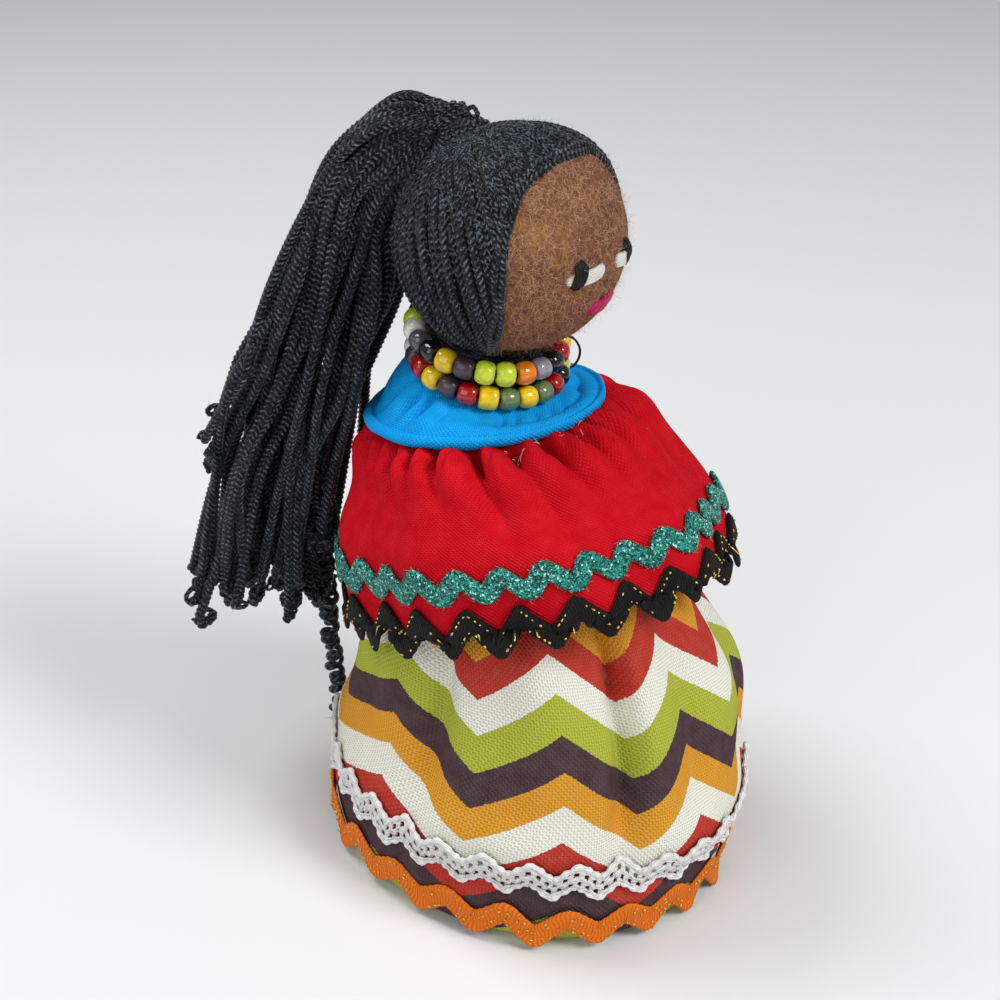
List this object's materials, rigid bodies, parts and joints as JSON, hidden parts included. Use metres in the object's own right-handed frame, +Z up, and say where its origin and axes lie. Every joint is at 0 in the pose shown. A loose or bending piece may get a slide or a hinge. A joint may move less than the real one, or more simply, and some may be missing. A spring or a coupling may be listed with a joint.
{
  "type": "cloth doll",
  "caption": "Stuffed fibre doll standing on a flat base, with a braided cord ponytail, embroidered face, bead necklaces, gathered cape and printed skirt with rick-rack trim.",
  "frame": {"origin": "centre of the flat base that the doll stands on", "axes": "+Z up the doll, -Y the way the face looks, -X its right side"},
  "size_m": [0.0754, 0.1142, 0.1519],
  "materials": {
    "base_card": "matt stiff card",
    "husk_fibre": "matt coarse fibre",
    "neck_cord": "matt twisted cord",
    "skirt_print": "matt plain-weave cotton with a printed zig-zag",
    "white_braid": "matt crocheted cotton braid",
    "orange_braid": "braid with gold thread",
    "cape_cotton": "matt cotton",
    "teal_braid": "glittering metallic braid",
    "black_braid": "braid with gold thread",
    "yoke_cotton": "matt cotton",
    "face_felt": "fuzzy felted fibre",
    "hair_cord": "braided cord with a soft sheen",
    "white_stitch": "satin embroidery thread",
    "black_stitch": "satin embroidery thread",
    "lip_stitch": "satin embroidery thread",
    "bead_thread": "waxed thread",
    "bead_white": "glossy opaque glass",
    "bead_smoke": "glossy clear glass",
    "bead_black": "glossy opaque glass",
    "bead_purple": "glossy opaque glass",
    "bead_lilac": "glossy clear glass",
    "bead_yellow": "glossy opaque glass",
    "bead_lime": "glossy opaque glass",
    "bead_green": "glossy clear glass",
    "bead_orange": "glossy opaque glass",
    "bead_red": "glossy opaque glass"
  },
  "bodies": {
    "body": {"base_disc": "base_card", "body_core": "husk_fibre", "neck_cord": "neck_cord", "skirt": "skirt_print", "skirt_white_rickrack": "white_braid", "skirt_orange_rickrack": "orange_braid", "cape": "cape_cotton", "cape_teal_rickrack": "teal_braid", "cape_black_rickrack": "black_braid", "yoke": "yoke_cotton"},
    "head": {"head_ball": "face_felt", "hair_cap": "hair_cord", "right_eye_white": "white_stitch", "left_eye_white": "white_stitch", "right_eye_iris": "black_stitch", "left_eye_iris": "black_stitch", "mouth": "lip_stitch"},
    "ponytail_root": {"ponytail_root": "hair_cord"},
    "ponytail": {"ponytail_tie": "hair_cord", "ponytail_knot": "hair_cord", "ponytail_inner_cords": "hair_cord", "ponytail_outer_cords": "hair_cord"},
    "necklace_upper": {"upper_necklace_thread": "bead_thread", "upper_bead_01": "bead_white", "upper_bead_02": "bead_smoke", "upper_bead_03": "bead_black", "upper_bead_04": "bead_yellow", "upper_bead_05": "bead_purple", "upper_bead_06": "bead_lime", "upper_bead_07": "bead_lime", "upper_bead_08": "bead_orange", "upper_bead_09": "bead_lilac", "upper_bead_10": "bead_black", "upper_bead_11": "bead_red", "upper_bead_12": "bead_yellow", "upper_bead_13": "bead_green", "upper_bead_14": "bead_white", "upper_bead_15": "bead_red", "upper_bead_16": "bead_lime", "upper_bead_17": "bead_purple"},
    "necklace_lower": {"lower_necklace_thread": "bead_thread", "lower_bead_01": "bead_red", "lower_bead_02": "bead_yellow", "lower_bead_03": "bead_purple", "lower_bead_04": "bead_red", "lower_bead_05": "bead_yellow", "lower_bead_06": "bead_green", "lower_bead_07": "bead_yellow", "lower_bead_08": "bead_green", "lower_bead_09": "bead_red", "lower_bead_10": "bead_black", "lower_bead_11": "bead_lime", "lower_bead_12": "bead_orange", "lower_bead_13": "bead_white", "lower_bead_14": "bead_purple", "lower_bead_15": "bead_yellow", "lower_bead_16": "bead_red", "lower_bead_17": "bead_smoke"}
  },
  "joints": [
    {"name": "head_turn", "type": "hinge", "parent": "body", "child": "head", "pos_m": [0, 0.00475, 0.12646], "axis": [0, 0, 1], "range_deg": [-15, 15], "stiffness_Nm_per_rad": 0.02},
    {"name": "ponytail_swing", "type": "hinge", "parent": "head", "child": "ponytail_root", "pos_m": [0, 0.01739, 0.14323], "axis": [0, 0, 1], "range_deg": [-40, 10]},
    {"name": "ponytail_lift", "type": "hinge", "parent": "ponytail_root", "child": "ponytail", "pos_m": [0, 0.01739, 0.14323], "axis": [0.9063, 0.4226, 0], "range_deg": [0, 25]},
    {"name": "necklace_upper_turn", "type": "hinge", "parent": "body", "child": "necklace_upper", "pos_m": [0, 0.0106, 0.1066], "axis": [0, -0.2055, 0.9787], "continuous": true},
    {"name": "necklace_lower_turn", "type": "hinge", "parent": "body", "child": "necklace_lower", "pos_m": [0, 0.0106, 0.1018], "axis": [0, -0.2055, 0.9787], "continuous": true}
  ]
}
